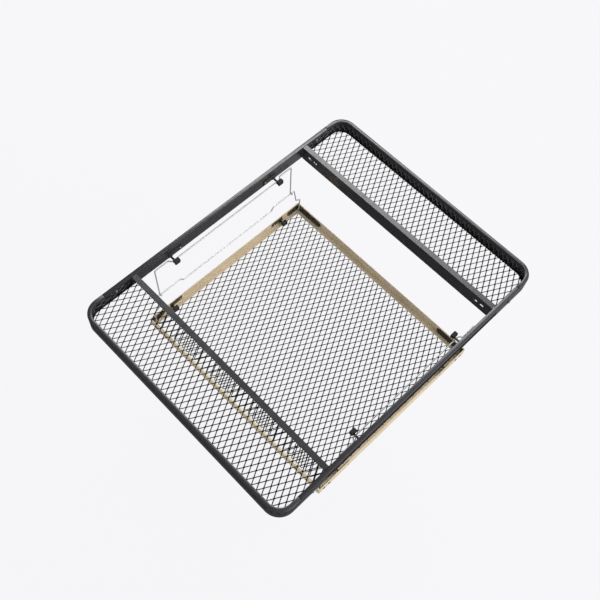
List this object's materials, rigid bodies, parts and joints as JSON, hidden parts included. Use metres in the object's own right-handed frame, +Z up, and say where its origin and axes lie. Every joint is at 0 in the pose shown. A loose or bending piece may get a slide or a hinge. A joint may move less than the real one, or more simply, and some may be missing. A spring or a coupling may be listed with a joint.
{
  "type": "hitch cargo carrier basket",
  "caption": "Rounded tube frame with a shallow mesh bay at each end and an open middle, over a mesh-floored tray hung on folding wire bails.",
  "frame": {"origin": "centre of the frame's top plane, midway between the crossbars and the long sides", "axes": "+X along the length towards the far bay, +Y across towards the left side, +Z up"},
  "size_m": [1.27, 0.98, 0.39],
  "materials": {
    "black_paint": "satin black powder coat",
    "black_mesh": "black powder-coated expanded steel",
    "sand_paint": "satin sand-gold paint",
    "black_zinc": "black passivated steel",
    "bright_wire": "bright drawn wire",
    "black_rubber": "matte black rubber",
    "zinc_steel": "zinc-plated steel"
  },
  "bodies": {
    "frame": {"rim_end_near": "black_paint", "crossbar_near": "black_paint", "bay_angle_near": "black_paint", "mesh_skirt_near": "black_mesh", "mesh_floor_near": "black_mesh", "rim_end_far": "black_paint", "crossbar_far": "black_paint", "bay_angle_far": "black_paint", "mesh_skirt_far": "black_mesh", "mesh_floor_far": "black_mesh", "rim_side_left": "black_paint", "side_channel_left": "black_paint", "rim_side_right": "black_paint", "side_channel_right": "black_paint", "frame_clip_near_left": "black_zinc", "frame_clip_pad_near_left": "black_rubber", "frame_clip_screw_near_left": "zinc_steel", "anchor_plate_near_left": "black_paint", "frame_bolt_near_left": "zinc_steel", "frame_clip_near_right": "black_zinc", "frame_clip_pad_near_right": "black_rubber", "frame_clip_screw_near_right": "zinc_steel", "anchor_plate_near_right": "black_paint", "frame_bolt_near_right": "zinc_steel", "frame_clip_far_left": "black_zinc", "frame_clip_pad_far_left": "black_rubber", "frame_clip_screw_far_left": "zinc_steel", "anchor_plate_far_left": "black_paint", "frame_bolt_far_left": "zinc_steel", "frame_clip_far_right": "black_zinc", "frame_clip_pad_far_right": "black_rubber", "frame_clip_screw_far_right": "zinc_steel", "anchor_plate_far_right": "black_paint", "frame_bolt_far_right": "zinc_steel"},
    "upper_bail_left": {"upper_bail_left": "bright_wire"},
    "lower_bail_left": {"lower_bail_left": "bright_wire"},
    "upper_bail_right": {"upper_bail_right": "bright_wire"},
    "lower_bail_right": {"lower_bail_right": "bright_wire"},
    "tray": {"tray_end_near": "sand_paint", "tray_end_far": "sand_paint", "tray_side_left": "sand_paint", "tray_side_right": "sand_paint", "tray_mesh": "black_mesh", "tray_clip_near_left": "black_zinc", "tray_clip_pad_near_left": "black_rubber", "corner_bracket_near_left": "black_zinc", "tray_clip_screw_near_left": "zinc_steel", "tray_clip_near_right": "black_zinc", "tray_clip_pad_near_right": "black_rubber", "corner_bracket_near_right": "black_zinc", "tray_clip_screw_near_right": "zinc_steel", "tray_clip_far_left": "black_zinc", "tray_clip_pad_far_left": "black_rubber", "corner_bracket_far_left": "black_zinc", "tray_clip_screw_far_left": "zinc_steel", "tray_clip_far_right": "black_zinc", "tray_clip_pad_far_right": "black_rubber", "corner_bracket_far_right": "black_zinc", "tray_clip_screw_far_right": "zinc_steel"}
  },
  "joints": [
    {"name": "bail_left_swing", "type": "hinge", "parent": "frame", "child": "upper_bail_left", "pos_m": [0, 0.448, -0.055], "axis": [-1, 0, 0], "range_deg": [0, 72]},
    {"name": "knee_left", "type": "hinge", "parent": "upper_bail_left", "child": "lower_bail_left", "pos_m": [0, 0.448, -0.2125], "axis": [1, 0, 0], "range_deg": [0, 144]},
    {"name": "tray_lift", "type": "hinge", "parent": "lower_bail_left", "child": "tray", "pos_m": [0, 0.448, -0.37], "axis": [-1, 0, 0], "range_deg": [0, 72]},
    {"name": "bail_right_swing", "type": "hinge", "parent": "frame", "child": "upper_bail_right", "pos_m": [0, -0.448, -0.055], "axis": [1, 0, 0], "range_deg": [0, 72]},
    {"name": "knee_right", "type": "hinge", "parent": "upper_bail_right", "child": "lower_bail_right", "pos_m": [0, -0.448, -0.2125], "axis": [-1, 0, 0], "range_deg": [0, 144]}
  ],
  "couplings": [
    {"joint": "knee_left", "follows": "bail_left_swing", "ratio": 2},
    {"joint": "tray_lift", "follows": "bail_left_swing", "ratio": 1},
    {"joint": "bail_right_swing", "follows": "bail_left_swing", "ratio": 1},
    {"joint": "knee_right", "follows": "bail_left_swing", "ratio": 2}
  ]
}
